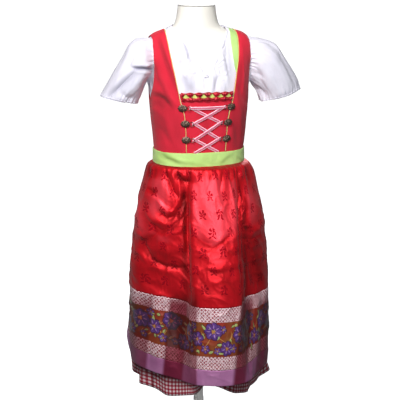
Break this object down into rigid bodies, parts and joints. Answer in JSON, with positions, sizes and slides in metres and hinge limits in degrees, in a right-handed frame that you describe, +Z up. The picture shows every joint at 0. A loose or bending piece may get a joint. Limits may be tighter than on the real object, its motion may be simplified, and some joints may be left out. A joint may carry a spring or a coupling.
{
  "type": "dirndl on dress form",
  "caption": "Girl's folk dress set on a limbless dress form: puff-sleeved blouse, laced bodice with straps, gathered skirt and a tied apron with a border.",
  "frame": {"origin": "on the floor, at the middle of the underside of the stand's base", "axes": "+Z up along the stand's pole, -Y towards the front of the dress, +X towards the wearer's left"},
  "size_m": [0.5202, 0.3674, 1.1285],
  "materials": {
    "form_shell": "smooth cream covering of a dress form",
    "stand_paint": "satin white paint",
    "white_cotton": "plain cotton batiste",
    "red_cotton": "matt cotton",
    "green_cotton": "light green cotton satin",
    "ruche_taffeta": "pleated taffeta",
    "antique_brass": "dark antique brass",
    "lace_ribbon": "narrow pink and white checked ribbon",
    "gingham_cotton": "red and white gingham",
    "red_satin": "glossy jacquard satin",
    "border_satin": "satin with a woven flower border and lace bands",
    "purple_taffeta": "glossy taffeta"
  },
  "bodies": {
    "root": {"apron_border": "border_satin", "apron_hem": "purple_taffeta", "apron_panel": "red_satin", "apron_tie_left": "green_cotton", "apron_tie_right": "green_cotton", "apron_waistband": "green_cotton", "blouse_back_left": "white_cotton", "blouse_back_right": "white_cotton", "blouse_front_left": "white_cotton", "blouse_front_right": "white_cotton", "blouse_sleeve_left": "white_cotton", "blouse_sleeve_right": "white_cotton", "bodice_back_left": "red_cotton", "bodice_back_right": "red_cotton", "bodice_centre": "red_cotton", "bodice_front_left": "red_cotton", "bodice_front_right": "red_cotton", "bow_knot": "green_cotton", "bow_loop_left": "green_cotton", "bow_loop_right": "green_cotton", "bow_tail_left": "green_cotton", "bow_tail_right": "green_cotton", "form_base": "stand_paint", "form_pole": "stand_paint", "form_torso": "form_shell", "hook_left_1": "antique_brass", "hook_left_2": "antique_brass", "hook_left_3": "antique_brass", "hook_right_1": "antique_brass", "hook_right_2": "antique_brass", "hook_right_3": "antique_brass", "lace_across": "lace_ribbon", "lace_left_1": "lace_ribbon", "lace_left_2": "lace_ribbon", "lace_left_3": "lace_ribbon", "lace_right_1": "lace_ribbon", "lace_right_2": "lace_ribbon", "lace_right_3": "lace_ribbon", "neck_facing": "green_cotton", "piping_left": "green_cotton", "piping_right": "green_cotton", "ruche_backing": "green_cotton", "ruche_lower": "ruche_taffeta", "ruche_upper": "ruche_taffeta", "skirt_back": "gingham_cotton", "skirt_front": "gingham_cotton"}
  },
  "joints": []
}
